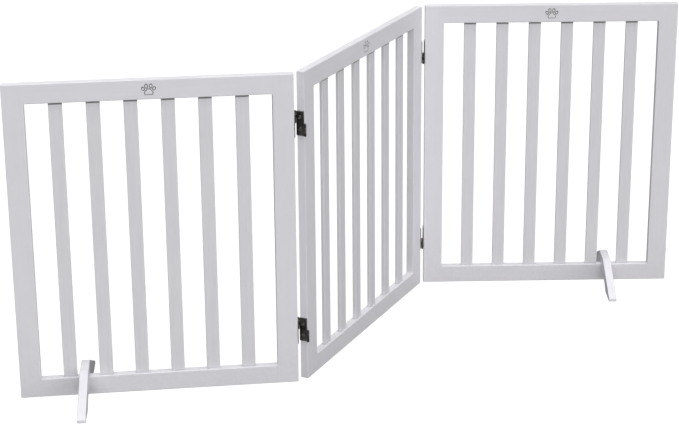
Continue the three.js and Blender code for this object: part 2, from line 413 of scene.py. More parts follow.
@dataclass
class Nodes:
    """A node tree with short calls to add and join nodes."""

    tree: bpy.types.NodeTree

    @classmethod
    def of(cls, owner: bpy.types.ID) -> "Nodes":
        """The emptied node tree of a material or a world.

        Args:
            owner: the material or world.

        Returns:
            Its nodes.
        """
        owner.use_nodes = True
        owner.node_tree.nodes.clear()
        return cls(owner.node_tree)

    def add(self, kind: str, sockets: dict | None = None, **settings) -> bpy.types.Node:
        """Adds a node.

        Args:
            kind: the node's type, without its ShaderNode prefix.
            sockets: input name or index to a value, or to an output socket to join.
            settings: properties of the node.

        Returns:
            The node.
        """
        prefix = "" if kind.startswith("Node") else "ShaderNode"
        node = self.tree.nodes.new(prefix + kind)
        for name, value in settings.items():
            setattr(node, name, value)
        for key, value in (sockets or {}).items():
            if isinstance(value, bpy.types.NodeSocket):
                self.tree.links.new(value, node.inputs[key])
            else:
                node.inputs[key].default_value = value
        return node

    def maths(self, operation: str, *values: object) -> bpy.types.NodeSocket:
        """The result of a Math node on one to three values or sockets."""
        return self.add("Math", dict(enumerate(values)), operation=operation).outputs[0]

    def mixed(self, share: object, first: object, second: object) -> bpy.types.NodeSocket:
        """A colour between two, by a share."""
        mix = self.add("Mix", {0: share, 6: first, 7: second}, data_type="RGBA")
        return mix.outputs[2]

    def ranged(self, value: object, low: float, high: float, start: float,
               end: float) -> bpy.types.NodeSocket:
        """A value carried smoothly from low..high to start..end."""
        sockets = {0: value, 1: low, 2: high, 3: start, 4: end}
        return self.add("MapRange", sockets, interpolation_type="SMOOTHSTEP").outputs[0]

    def noise(self, vector: object, scale: object, detail: float) -> bpy.types.NodeSocket:
        """Noise between 0 and 1 at a place."""
        sockets = {"Vector": vector, "Scale": scale, "Detail": detail}
        return self.add("TexNoise", sockets).outputs[0]


class Groups:
    """The effects that more than one finish uses, each built once as a node group."""

    ALONG_GRAIN = 0.035  # of the noise's scale along the grain, against across it
    FIBRE_FINENESS = 4.5  # of the fibres' scale against the streaks'
    PATCH_COARSENESS = 0.03  # of the patches' scale against the ripple's
    STREAK_SPAN = (0.36, 0.66)  # of the noise that fades from none to full
    FIBRE_SPAN = (0.30, 0.70)
    PATCH_SPAN = (0.35, 0.65)
    DUST_HEIGHT = 0.14  # up from the floor, over which the veil thins
    DUST_ABOVE = 0.15  # what share of the veil is left higher up
    SPECKLE_SCALE = 160.0

    def __init__(self) -> None:
        """Builds the three groups."""
        self.grain = self.grain_group()
        self.film = self.film_group()
        self.dust_and_shade = self.dust_and_shade_group()

    @staticmethod
    def begin(name: str, inputs: dict[str, str], outputs: tuple[str, ...]
              ) -> tuple[Nodes, bpy.types.NodeGroup]:
        """A new group with its input sockets and its float output sockets.

        Args:
            name: the group's name.
            inputs: each input's name and kind.
            outputs: the outputs' names.

        Returns:
            The group's nodes, and the group.
        """
        tree = bpy.data.node_groups.new(name, "ShaderNodeTree")
        for socket, kind in inputs.items():
            tree.interface.new_socket(socket, in_out="INPUT", socket_type="NodeSocket" + kind)
        for socket in outputs:
            tree.interface.new_socket(socket, in_out="OUTPUT", socket_type="NodeSocketFloat")
        return Nodes(tree), tree

    def grain_group(self) -> bpy.types.NodeGroup:
        """Streaks that run with the grain, and fine fibres between them.

        Returns:
            The group.
        """
        n, tree = self.begin("wood_grain", {"Place": "Vector", "Density": "Float"},
                             ("Streaks", "Fibres"))
        given = n.add("NodeGroupInput")
        drawn = n.add("VectorMath", {0: given.outputs["Place"],
                                     1: (self.ALONG_GRAIN, 1.0, 1.0)},
                      operation="MULTIPLY").outputs[0]
        broad = n.noise(drawn, given.outputs["Density"], 3.0)
        fine_scale = n.maths("MULTIPLY", given.outputs["Density"], self.FIBRE_FINENESS)
        fine = n.noise(drawn, fine_scale, 2.0)
        n.add("NodeGroupOutput", {"Streaks": n.ranged(broad, *self.STREAK_SPAN, 0.0, 1.0),
                                  "Fibres": n.ranged(fine, *self.FIBRE_SPAN, 0.0, 1.0)})
        return tree

    def film_group(self) -> bpy.types.NodeGroup:
        """The faint ripple of a sprayed coat, and patches where it dried duller.

        Returns:
            The group.
        """
        n, tree = self.begin("sprayed_coat", {"Position": "Vector", "Scale": "Float"},
                             ("Ripple", "Patches"))
        given = n.add("NodeGroupInput")
        ripple = n.noise(given.outputs["Position"], given.outputs["Scale"], 2.0)
        patch_scale = n.maths("MULTIPLY", given.outputs["Scale"], self.PATCH_COARSENESS)
        patches = n.noise(given.outputs["Position"], patch_scale, 3.0)
        n.add("NodeGroupOutput", {"Ripple": ripple,
                                  "Patches": n.ranged(patches, *self.PATCH_SPAN, 0.0, 1.0)})
        return tree

    def dust_and_shade_group(self) -> bpy.types.NodeGroup:
        """A thin veil: a light dusting near the floor, and painted shade in grooves, seats and
        recesses.

        Returns:
            The group.
        """
        n, tree = self.begin("dust_and_painted_shade", {"Position": "Vector", "Painted_Shade": "Float",
                                              "Amount": "Float"}, ("Veil",))
        given = n.add("NodeGroupInput")
        height = n.add("SeparateXYZ", {0: given.outputs["Position"]}).outputs["Z"]
        low_down = n.ranged(height, 0.0, self.DUST_HEIGHT, 1.0, self.DUST_ABOVE)
        speckle = n.noise(given.outputs["Position"], self.SPECKLE_SCALE, 5.0)
        # the painted-shade share joins the dusting, so the veil also paints shade into grooves and
        # recesses
        where = n.maths("MAXIMUM", low_down, given.outputs["Painted_Shade"])
        veil = n.maths("MULTIPLY", n.maths("MULTIPLY", where, speckle), given.outputs["Amount"])
        n.add("NodeGroupOutput", {"Veil": veil})
        return tree


def opaque(colour: tuple[float, float, float]) -> tuple[float, float, float, float]:
    """A colour with full alpha."""
    return (*colour, 1.0)


@dataclass(frozen=True)
class Finish:
    """What every finish has: a name, its colours and its sheen."""

    name: str
    colour: tuple[float, float, float]
    # for paint, the colour of painted shade; for steel, the second tone of its mottling
    shade: tuple[float, float, float]
    roughness: float
    # how thick the veil is: a light dusting near the floor, and painted shade in grooves and
    # recesses
    dust_and_shade: float

    def started(self, groups: Groups) -> tuple[Nodes, bpy.types.Material, dict]:
        """A new material with the sockets that every finish reads.

        Args:
            groups: the shared effects.

        Returns:
            The material's nodes, the material, and the sockets by what they hold.
        """
        material = bpy.data.materials.new(self.name)
        n = Nodes.of(material)
        position = n.add("TexCoord").outputs["Object"]
        reads = {a: n.add("Attribute", attribute_name=a.value) for a in Attribute}
        painted_shade = reads[Attribute.PAINTED_SHADE].outputs["Fac"]
        dust_and_shade = n.add("Group", {"Position": position, "Painted_Shade": painted_shade, "Amount": self.dust_and_shade},
                     node_tree=groups.dust_and_shade)
        return n, material, {
            "position": position, "painted_shade": painted_shade, "edge": reads[Attribute.EDGE].outputs["Fac"],
            "grain": reads[Attribute.GRAIN].outputs["Vector"], "veil": dust_and_shade.outputs["Veil"]}

    def ended(self, n: Nodes, colour: object, roughness: object, height: object, depth: float,
              settings: dict) -> None:
        """Joins the colour, roughness and bump to the material's one shader.

        Args:
            n: the material's nodes.
            colour: a socket.
            roughness: a socket.
            height: a socket, for the bump.
            depth: of the bump, in metres.
            settings: values set on the shader's own sockets.
        """
        bump = n.add("Bump", {"Height": height, "Distance": depth, "Strength": 1.0})
        shader = n.add("BsdfPrincipled", {"Base Color": colour, "Roughness": roughness,
                                          "Normal": bump.outputs[0], **settings})
        n.add("OutputMaterial", {"Surface": shader.outputs[0]})


@dataclass(frozen=True)
class PaintedWood(Finish):
    """Satin paint, sprayed thin enough for the wood's streaks to show through it."""

    streak: float = 0.08  # how much of the darker tone a full streak takes
    patchiness: float = 0.10  # and a full patch
    darkest: float = 0.82  # that tone, as a share of the colour
    density: float = 200.0
    ripple_scale: float = 620.0
    relief: float = 0.05 * MM
    fibre_relief: float = 0.35  # against a streak's
    ripple_relief: float = 0.6
    patch_dullness: float = 0.08  # added to the roughness
    dust_dullness: float = 0.5
    edge_polish: float = -0.05
    coat: float = 0.08
    # the veil's colour, for the dusting and for painted shade
    dust_and_shade_colour: tuple[float, float, float] = (0.52, 0.50, 0.47)

    def material(self, groups: Groups) -> bpy.types.Material:
        """Paint darkened along the streaks, with painted shade in grooves and seats, and glossier
        arrises.

        Args:
            groups: the shared effects.

        Returns:
            The material.
        """
        n, material, read = self.started(groups)
        grain = n.add("Group", {"Place": read["grain"], "Density": self.density},
                      node_tree=groups.grain)
        film = n.add("Group", {"Position": read["position"], "Scale": self.ripple_scale},
                     node_tree=groups.film)
        streaks, fibres = grain.outputs["Streaks"], grain.outputs["Fibres"]
        darker = tuple(value * self.darkest for value in self.colour)
        tone = n.mixed(n.maths("MULTIPLY", streaks, self.streak), opaque(self.colour),
                       opaque(darker))
        patchy = n.mixed(n.maths("MULTIPLY", film.outputs["Patches"], self.patchiness), tone,
                         opaque(darker))
        # painted shade: the paint is darkened towards the shade colour by the painted-shade share
        shaded = n.mixed(read["painted_shade"], patchy, opaque(self.shade))
        # the veil adds a light dusting near the floor, and more painted shade in grooves and seats
        with_dust_and_shade = n.mixed(read["veil"], shaded, opaque(self.dust_and_shade_colour))
        gloss = n.maths("MULTIPLY_ADD", film.outputs["Patches"], self.patch_dullness,
                        self.roughness)
        dull = n.maths("MULTIPLY_ADD", read["veil"], self.dust_dullness, gloss)
        at_edges = n.maths("MULTIPLY_ADD", read["edge"], self.edge_polish, dull)
        relief = n.maths("MULTIPLY_ADD", fibres, self.fibre_relief, streaks)
        height = n.maths("MULTIPLY_ADD", film.outputs["Ripple"], self.ripple_relief, relief)
        self.ended(n, with_dust_and_shade, at_edges, height, self.relief, {"Coat Weight": self.coat})
        return material


@dataclass(frozen=True)
class Steel(Finish):
    """Bronzed or plated steel, with a painted highlight along its edges."""

    metallic: float = 0.9
    # the painted highlight's colour on edges and rims, and how much of it a full edge takes
    painted_highlight: tuple[float, float, float] = (0.42, 0.40, 0.37)
    highlight_share: float = 0.8
    relief: float = 0.02 * MM
    ripple_scale: float = 1800.0
    gloss_swing: float = 0.22  # of the roughness, from the ripple's lows to its highs
    dust_dullness: float = 0.4
    # the veil's colour, for the dusting and for painted shade
    dust_and_shade_colour: tuple[float, float, float] = (0.30, 0.29, 0.27)

    def material(self, groups: Groups) -> bpy.types.Material:
        """Metal mottled between two tones, with painted highlights on its edges, a light dusting
        near the floor, and painted shade in recesses.

        Args:
            groups: the shared effects.

        Returns:
            The material.
        """
        n, material, read = self.started(groups)
        film = n.add("Group", {"Position": read["position"], "Scale": self.ripple_scale},
                     node_tree=groups.film)
        mottled = n.mixed(film.outputs["Patches"], opaque(self.colour), opaque(self.shade))
        # painted highlight: edges lightened towards the highlight colour, in patches set by the
        # ripple
        highlight_mask = n.maths("MULTIPLY", read["edge"], film.outputs["Ripple"])
        at_edges = n.mixed(n.maths("MULTIPLY", highlight_mask, self.highlight_share), mottled, opaque(self.painted_highlight))
        with_dust_and_shade = n.mixed(read["veil"], at_edges, opaque(self.dust_and_shade_colour))
        gloss = n.maths("MULTIPLY_ADD", film.outputs["Ripple"], self.gloss_swing,
                        self.roughness - self.gloss_swing / 2)
        dull = n.maths("MULTIPLY_ADD", read["veil"], self.dust_dullness, gloss)
        self.ended(n, with_dust_and_shade, dull, film.outputs["Ripple"], self.relief, {"Metallic": self.metallic})
        return material


@dataclass
class Finishes:
    """The gate's materials."""

    groups: Groups = field(default_factory=Groups)

    def __post_init__(self) -> None:
        """Builds each finish once."""
        # grey is the colour of painted shade in grooves and seats
        white, shade_grey = (0.800, 0.790, 0.838), (0.060, 0.058, 0.062)
        # the slats' paint is the frame's white made 4% darker, as painted shade
        shaded_slat_white = tuple(0.96 * value for value in white)
        self.frame = PaintedWood("frame_paint", white, shade_grey, 0.46, 0.35).material(self.groups)
        self.slat = PaintedWood("shaded_slat_paint", shaded_slat_white, shade_grey, 0.48, 0.20, streak=0.18,
                                density=240.0).material(self.groups)
        self.foot = PaintedWood("foot_paint", white, shade_grey, 0.44, 0.10).material(self.groups)
        self.leaf = Steel("bronzed_leaf", (0.045, 0.042, 0.040), (0.19, 0.18, 0.165), 0.36,
                          0.10).material(self.groups)
        self.pin = Steel("bronzed_pin", (0.095, 0.085, 0.078), (0.14, 0.13, 0.12), 0.34,
                         0.06).material(self.groups)
        self.screw = Steel("plated_screw", (0.46, 0.45, 0.43), (0.62, 0.61, 0.59), 0.22, 0.03,
                           metallic=1.0, painted_highlight=(0.86, 0.85, 0.83)).material(self.groups)


# --- Panels ---------------------------------------------------------------


@dataclass
class Panel:
    """One slatted panel: two stiles, two rails and six slats."""

    name: str
    maker: Maker
    finishes: Finishes
    arris: float = 1.4 * MM
    slat_arris: float = 1.2 * MM
    slat_count: int = 6
    rail_overlap: float = 0.15 * MM  # of a rail's end into its stile
    rail_recess: float = 0.02 * MM  # of a rail's faces behind the stile's
    seat_depth: float = 3.2 * MM  # how far the full shade of a slat's seat reaches
    seat_fade: float = 1.4 * MM  # and how far it then takes to fade
    top_shade: float = 0.85  # how dark a slat is at its upper seat
    bottom_shade: float = 0.35  # and at its lower one
    board_shift: float = 0.618  # how far each next board's grain starts along the last one's
    panel_shift: float = 0.37  # the same for each step of the name's letters
    aside_shift: float = 0.71  # how much of that shift is also across the grain
    groove: PawGroove = field(default_factory=PawGroove)

    def __post_init__(self) -> None:
        """Finds the panel's frame: under the middle of its two stiles, along their line."""
        left, right = (node_centre(f"{self.name}_{side.name.lower()}_stile") for side in Side)
        run, middle = right - left, (left + right) / 2
        self.place = Place((middle[0], middle[1], 0.0), math.atan2(run[1], run[0]))
        self.body = f"{self.name}_panel"
        low, high = local_box(f"{self.name}_left_stile", self.place)
        self.half_thickness = (high[1] - low[1]) / 2
        self.half_opening = -high[0]
        self.pieces = 0

    def rail_span(self, which: str) -> tuple[float, float]:
        """The lowest and highest point of a rail."""
        low, high = local_box(f"{self.name}_{which}_rail", self.place)
        return low[2], high[2]

    def grain(self, along: Array, across: Array, through: Array) -> Array:
        """Places in the grain, moved on for each piece so that no two boards match.

        Args:
            along: places along the board.
            across: places across its face.
            through: places through its thickness.

        Returns:
            The three as one array, with a last axis of three.
        """
        self.pieces += 1
        start = self.pieces * self.board_shift + sum(map(ord, self.name)) * self.panel_shift
        return np.stack((along + start, across + start * self.aside_shift, through), -1)

    def stile(self, side: Side) -> Skin:
        """A rounded rectangle carried up the panel, with quarter-round ends.

        The two arrises on the opening run out to nothing where the rails meet the stile, and
        its inner face stays flat to the very ends there.

        Args:
            side: the end of the panel that it stands at.

        Returns:
            The skin.
        """
        node = f"{self.name}_{side.name.lower()}_stile"
        low, high = local_box(node, self.place)
        rail_low, rail_high = self.rail_span("bottom")[1], self.rail_span("top")[0]
        depth, inset = quarter_round(self.arris)
        run_out = 2.0 * self.arris
        bends = np.array((rail_low, rail_low + run_out / 2, rail_low + run_out))
        z = np.concatenate((low[2] + depth, bends, rail_high + rail_low - bends[::-1],
                            (high[2] - depth)[::-1]))
        inset = np.concatenate((inset, np.zeros(2 * len(bends)), inset[::-1]))
        inner = np.interp(z, (rail_low, rail_low + run_out, rail_high - run_out, rail_high),
                          (SHARP_ARRIS, self.arris, self.arris, SHARP_ARRIS))
        inner_inset = np.where(inset > self.arris, SUPPORT, 0.0)
        outer = np.full_like(z, self.arris)
        left_in, right_in = (inner_inset, inset) if side is Side.RIGHT else (inset, inner_inset)
        lows = np.stack((low[0] + left_in, low[1] + inset), -1)
        highs = np.stack((high[0] - right_in, high[1] - inset), -1)
        order = (outer, inner, inner, outer) if side is Side.RIGHT else (inner, outer, outer, inner)
        radii = np.maximum(np.stack(order, -1) - inset[:, None], SHARP_ARRIS)
        flat, edge = rounded_sections(lows, highs, radii)
        up = np.broadcast_to(z[:, None], flat.shape[:2])
        points = np.concatenate((flat, up[..., None]), -1)
        return Skin.of_grid(points, self.grain(up, flat[..., 0], flat[..., 1]),
                            edge=np.broadcast_to(edge, up.shape))

    def rail(self, which: str) -> Skin:
        """A rounded rectangle carried from stile to stile; the top rail has the paw groove.

        The groove is cut into the front face, to its depth times its share at each point, and the
        same share paints shade into it.

        Args:
            which: top or bottom.

        Returns:
            The skin.
        """
        low_z, high_z = self.rail_span(which)
        end = self.half_opening + self.rail_overlap
        half = self.half_thickness - self.rail_recess
        carved = which == "top"
        middle = (low_z + high_z) / 2
        print_x, print_z = self.groove.lines(0), self.groove.lines(1)
        x = np.concatenate(((-end,), print_x, (end,))) if carved else np.array((-end, 0.0, end))
        trim = self.rail_recess
        lows = np.tile((low_z + trim, -half), (len(x), 1))
        highs = np.tile((high_z - trim, half), (len(x), 1))
        radii = np.full((len(x), 4), self.arris)
        flat, edge = rounded_sections(lows, highs, radii,
                                      front=middle + print_z if carved else None)
        along = np.broadcast_to(x[:, None], flat.shape[:2])
        up, through = flat[..., 0], flat[..., 1]
        share = np.zeros(along.shape)
        if carved:
            on_front = through < -half + MERGE
            share = np.where(on_front, self.groove.share(along, up - middle), 0.0)
        points = np.stack((along, through + share * self.groove.depth, up), -1)
        # the groove's share also goes in as painted shade, darkening the paint in the groove
        return Skin.of_grid(points, self.grain(along, up, through), share,
                            np.broadcast_to(edge, up.shape))

    def slat(self, number: int) -> Skin:
        """A thin rounded rectangle carried from seat to seat, with painted shade close to the
        rails.

        Args:
            number: 1 to 6, from the left.

        Returns:
            The skin.
        """
        low, high = local_box(f"{self.name}_slat_{number}", self.place)
        rail_low, rail_high = self.rail_span("bottom")[1], self.rail_span("top")[0]
        near = np.concatenate(((0.0,), self.seat_depth + np.linspace(0, self.seat_fade, 4)))
        z = np.concatenate(((low[2],), rail_low + near, rail_high - near[::-1], (high[2],)))
        flat, edge = rounded_sections(np.tile(low[:2], (len(z), 1)),
                                      np.tile(high[:2], (len(z), 1)),
                                      np.full((len(z), 4), self.slat_arris), steps=3)
        up = np.broadcast_to(z[:, None], flat.shape[:2])
        # painted shade where the slat runs into each rail, darker at the upper seat
        from_top = smooth_step((self.seat_depth + self.seat_fade - (rail_high - up))
                               / self.seat_fade)
        from_bottom = smooth_step(1 - (up - rail_low) / self.seat_fade)
        points = np.concatenate((flat, up[..., None]), -1)
        return Skin.of_grid(points, self.grain(up, flat[..., 0], flat[..., 1]),
                            np.maximum(self.top_shade * from_top,
                                       self.bottom_shade * from_bottom),
                            np.broadcast_to(edge, up.shape))

    def build(self) -> None:
        """Makes and dresses the panel's ten boards."""
        boards = {f"{side.name.lower()}_stile": self.stile(side) for side in Side}
        boards |= {f"{which}_rail": self.rail(which) for which in ("bottom", "top")}
        for board, skin in boards.items():
            self.dressed(board, skin, self.finishes.frame)
        for number in range(1, self.slat_count + 1):
            self.dressed(f"slat_{number}", self.slat(number), self.finishes.slat)

    def dressed(self, board: str, skin: Skin, material: bpy.types.Material) -> None:
        """Makes one board, which stands for its CAD node."""
        node = f"{self.name}_{board}"
        self.maker.piece(f"{node}_board", skin, self.place, material, self.body,
                         "painted_wood", node)


@dataclass
class Foot:
    """A low arched board, saddled over a bottom rail."""

    panel: Panel
    crease: float = math.radians(24)  # keeps the line between the crown and the slope
    arris: float = 1.3 * MM
    crown_half: float = 24 * MM
    tip_height: float = 7 * MM
    tip_radius: float = 2.5 * MM
    tip_turn: float = math.pi / 3
    pad_inner: float = 76 * MM
    arch_height: float = 17 * MM
    arch_inner: float = 41 * MM
    slot_half: float = 8.6 * MM
    slot_top: float = 36.3 * MM
    arch_points: int = 13
    tip_points: int = 7

    def outline(self, reach: float, crown: float) -> Array:
        """Half of the foot's outline, from the slot out along the underside and back on top.

        The arch is the curve (1-t)^2 a + 2t(1-t) b + t^2 c from its level part down to the
        pad. The tip is a quarter circle's first two thirds, and the slope is straight.

        Args:
            reach: from the middle to the tip.
            crown: the height of the flat on top.

        Returns:
            The whole outline as (points, 2), counted round counterclockwise.
        """
        t = np.linspace(0.0, 1.0, self.arch_points)[:, None]
        start = np.array((self.arch_inner, self.arch_height))
        bend = np.array(((self.arch_inner + self.pad_inner) / 2, self.arch_height))
        finish = np.array((self.pad_inner, 0.0))
        arch = (1 - t) ** 2 * start + 2 * t * (1 - t) * bend + t ** 2 * finish
        turn = np.linspace(0.0, self.tip_turn, self.tip_points)
        tip = np.array((reach - self.tip_radius, self.tip_height - self.tip_radius)) \
            + self.tip_radius * np.stack((np.cos(turn), np.sin(turn)), -1)
        toe = np.array(((reach, 0.0),))
        saddle = np.array(((self.slot_half, self.slot_top), (self.slot_half, self.arch_height)))
        crown_edge = np.array(((self.crown_half, crown),))
        right = np.concatenate((saddle, arch, toe, tip, crown_edge))
        left = right[::-1] * np.array((-1.0, 1.0))
        return np.concatenate((right, left))

    def stand(self, node: str) -> Place:
        """The foot's own frame: its middle, with Y along the line that its corners spread most.

        That line is the strongest direction of the corners' covariance on the floor plan.

        Args:
            node: the foot's CAD node.

        Returns:
            The frame.
        """
        plan = node_points(node)[:, :2]
        middle = node_centre(node)
        spread, directions = np.linalg.eigh(np.cov((plan - middle[:2]).T))
        along = directions[:, int(spread.argmax())]
        along = along if along[1] > 0 else -along
        return Place((middle[0], middle[1], 0.0), math.atan2(-along[0], along[1]))

    def build(self) -> None:
        """Carries the outline across the board, drawn in at both faces by a quarter round.

        Each corner moves in along (m + n) / (1 + m.n), where m and n are the outward normals
        of the two sides that meet there.
        """
        name = f"{self.panel.name}_foot"
        place = self.stand(name)
        low, high = local_box(name, place)
        outline = self.outline((high[1] - low[1]) / 2, high[2])
        run = np.roll(outline, -1, 0) - outline
        normal = np.stack((run[:, 1], -run[:, 0]), -1) / np.linalg.norm(run, axis=1)[:, None]
        before = np.roll(normal, 1, 0)
        corner = (before + normal) / (1 + (before * normal).sum(1))[:, None]
        depth, inset = quarter_round(self.arris)
        x = np.concatenate((low[0] + depth, (high[0] - depth)[::-1]))
        inset = np.concatenate((inset, inset[::-1]))
        flat = outline[None] - inset[:, None, None] * corner[None]
        across = np.broadcast_to(x[:, None], flat.shape[:2])
        middle = (low[1] + high[1]) / 2
        points = np.stack((across, flat[..., 0] + middle, flat[..., 1]), -1)
        edge = np.broadcast_to(((inset > 0) & (inset <= self.arris))[:, None], across.shape)
        skin = Skin.of_grid(points, self.panel.grain(flat[..., 0], flat[..., 1], across),
                            edge=edge.astype(float))
        panel = self.panel
        panel.maker.piece(f"{name}_board", skin, place, panel.finishes.foot, name,
                          "painted_wood", name, self.crease)


# --- Hinges ---------------------------------------------------------------


@dataclass(frozen=True)
class LeafSizes:
    """The sizes that all three leaves of a hinge share."""

    half_height: float
    half_width: float = 7.5 * MM
    thickness: float = 1.1 * MM
    arris: float = 0.18 * MM
    barrel_radius: float = 2.2 * MM
    knuckle_gap: float = 0.4 * MM
    knuckles: int = 3
    outer_middle: float = 1.85 * MM  # from the hinge's middle to an outer leaf's mid-thickness
    hole_radius: float = 2.0 * MM
    sink_radius: float = 3.4 * MM
    access_radius: float = 4.0 * MM
    screw_spacing: float = 23 * MM
    roll_turn: float = math.radians(290)
    neck_root: float = 0.8 * MM  # how far a knuckle's strip starts inside the plate
    neck_lead: float = 0.4 * MM  # how far before the pin's axis the strip reaches the barrel
    neck_points: int = 12
    roll_points: int = 34
    side_points: int = 8  # along each side of half a plate
    # the painted highlight on a hole's rim, as a share of a full edge's
    hole_highlight: float = 0.6

    def ring(self, middle_x: float, radii: tuple[float, float], upper: bool) -> Skin:
        """Half of a leaf's plate, as a loop of rings round one hole.

        Columns run round the hole and round the half plate's rim together. Rows go from the
        hole out over one face, round the rim with small arrises, and back over the other face;
        the last row joins the first down the hole's wall. The rim is flat on the side where
        the other half joins on, and the faces there are left out.

        Args:
            middle_x: the leaf's mid-thickness.
            radii: the hole's on the lower and the higher side along X.
            upper: True for the upper half.

        Returns:
            The skin, open on the line between the halves.
        """
        share = np.linspace(0.0, 1.0, self.side_points, endpoint=False)[:, None]
        half_z = self.half_height / 2
        hole_z = self.screw_spacing / 2
        signs = np.array(((1, -1), (1, 1), (-1, 1), (-1, -1)), float)
        joint_sign = -1 if upper else 1

        def rim(inset: float) -> Array:
            """The half plate's rim about the hole, drawn in on its three free sides.

            Args:
                inset: how far it is drawn in.

            Returns:
                Points (4 side_points, 2), across and up.
            """
            corners = signs * np.array((self.half_width - inset, half_z))
            corners[:, 1] -= joint_sign * (half_z - hole_z)
            free = signs[:, 1] != joint_sign
            corners[free, 1] -= signs[free, 1] * inset
            following = np.roll(corners, -1, 0)
            return np.concatenate([a * (1 - share) + b * share
                                   for a, b in zip(corners, following)])

        full = rim(0.0)
        turn = np.arctan2(full[:, 1], full[:, 0])
        circle = np.stack((np.cos(turn), np.sin(turn)), -1)
        x0, x1 = middle_x - self.thickness / 2, middle_x + self.thickness / 2
        a = self.arris
        inner_rim = rim(a)
        rows = ((x0, radii[0] * circle, self.hole_highlight), (x0, (radii[0] + a) * circle, 0.0),
                (x0, rim(a + SUPPORT), 0.0), (x0, inner_rim, 1.0), (x0 + a, full, 1.0),
                (x1 - a, full, 1.0), (x1, inner_rim, 1.0), (x1, rim(a + SUPPORT), 0.0),
                (x1, (radii[1] + a) * circle, 0.0), (x1, radii[1] * circle, self.hole_highlight))
        flat = np.stack([row[1] for row in rows])
        x = np.broadcast_to(np.array([row[0] for row in rows])[:, None], flat.shape[:2])
        edge = np.broadcast_to(np.array([row[2] for row in rows])[:, None], flat.shape[:2])
        points = np.stack((x, flat[..., 0], flat[..., 1] - joint_sign * hole_z), -1)
        skin = Skin.of_grid(points, points, edge=edge, loop=True)
        on_joint = np.abs(skin.points[:, 2]) < MERGE
        skin.faces = [face for face in skin.faces if not on_joint[face].all()]
        return skin

    def plate(self, middle_x: float, radii: tuple[float, float]) -> list[Skin]:
        """A whole plate with its two holes: an upper and a lower half that share a line."""
        return [self.ring(middle_x, radii, upper) for upper in (True, False)]

    def knuckle(self, number: int, pin: Pin, middle_x: float, reach: float,
                roll_side: int) -> Skin:
        """A strip of the leaf rolled round a pin.

        The path leaves the plate, eases over to the side of the barrel, and turns round the
        pin's axis at the barrel's radius less half the strip. The section is a rectangle with
        small arrises, as thick as the leaf and as high as the knuckle.

        Args:
            number: 0 to 2, counted from the hinge's middle.
            pin: the pin it rolls round.
            middle_x: the leaf's mid-thickness.
            reach: from mid-thickness of the panel to the pin's axis.
            roll_side: the side of the pin that the strip comes up on, as a sign.

        Returns:
            The skin.
        """
        radius = self.barrel_radius - self.thickness / 2
        rise = np.linspace(self.half_width - self.neck_root, reach, self.neck_points)
        ease = smooth_step((rise - self.half_width) / (reach - self.half_width - self.neck_lead))
        neck = np.stack((middle_x + (roll_side * radius - middle_x) * ease, rise), -1)
        turn = np.linspace(0.0, self.roll_turn, self.roll_points)[1:]
        roll = np.stack((roll_side * radius * np.cos(turn), reach + radius * np.sin(turn)), -1)
        path = np.concatenate((neck, roll))
        heading = np.gradient(path, axis=0)
        heading /= np.linalg.norm(heading, axis=1)[:, None]
        beside = np.stack((heading[:, 1], -heading[:, 0]), -1)
        pitch = self.half_height / self.knuckles
        height = pitch - self.knuckle_gap
        start = self.knuckle_gap + number * pitch
        half = np.array((self.thickness / 2, height / 2))
        section, edge = rounded_sections(-half[None], half[None],
                                         np.full((1, 4), self.arris), steps=2)
        off, up = section[0, :, 0], section[0, :, 1]
        flat = path[:, None] + beside[:, None] * off[None, :, None]
        z = np.broadcast_to(pin.value * (start + height / 2) + up, flat.shape[:2])
        points = np.stack((flat[..., 0], pin.value * flat[..., 1], z), -1)
        return Skin.of_grid(points, points, edge=np.broadcast_to(edge, z.shape))


@dataclass(frozen=True)
class Screw:
    """A countersunk wood screw with a cross recess."""

    head_radius: float = 3.2 * MM
    dome: float = 0.25 * MM
    cone: float = 1.3 * MM
    shank_radius: float = 1.5 * MM
    length: float = 15 * MM
    arm: float = 1.9 * MM
    arm_half_width: float = 0.55 * MM
    recess: float = 0.95 * MM
    sides: int = 48
    pole: float = 0.06  # of the head's radius, where its top's first ring lies
    top_rings: int = 14
    tip_radius: float = 0.15 * MM
    taper_start: float = 0.75  # of the length, where the shank starts to narrow
    arm_flank: float = 0.3 * MM
    arm_end: float = 0.5 * MM
    # painted shade in the cross recess, as a share
    recess_shade: float = 0.8
    # painted highlight on the head's top outside the recess, as a share
    head_highlight: float = 0.3

    def skin(self, facing: int) -> Skin:
        """A turned profile whose top is cut by a cross.

        The top's height is dome * (1 - (r / R)^2), less the recess where the point lies in one
        of two crossed arms. Below, the head narrows to the shank, which ends in a point.

        Args:
            facing: the direction along X that the head faces, as a sign.

        Returns:
            The skin, with the head's rim at the origin.
        """
        top = np.linspace(self.pole, 1.0, self.top_rings) * self.head_radius
        radius = np.concatenate((top, (self.shank_radius, self.shank_radius, self.tip_radius)))
        along = np.concatenate((self.dome * (1 - (top / self.head_radius) ** 2),
                                (-self.cone, -self.taper_start * self.length, -self.length)))
        points = turned_profile(radius, along, self.sides)
        across, up = np.abs(points[..., 0]), np.abs(points[..., 1])
        narrow, far = np.minimum(across, up), np.maximum(across, up)
        cut = smooth_step((self.arm_half_width - narrow) / self.arm_flank + 0.5) \
            * smooth_step((self.arm - far) / self.arm_end + 0.5)
        on_top = (np.arange(len(radius)) < len(top))[:, None]
        cut = np.where(on_top, cut, 0.0)
        depth = points[..., 2] - self.recess * cut
        turned = np.stack((facing * depth, points[..., 0], points[..., 1]), -1)
        # the recess carries painted shade, and the rest of the head's top a painted highlight
        return Skin.of_grid(turned, turned, self.recess_shade * cut,
                            np.where(on_top, self.head_highlight * (1 - cut), 0.0))


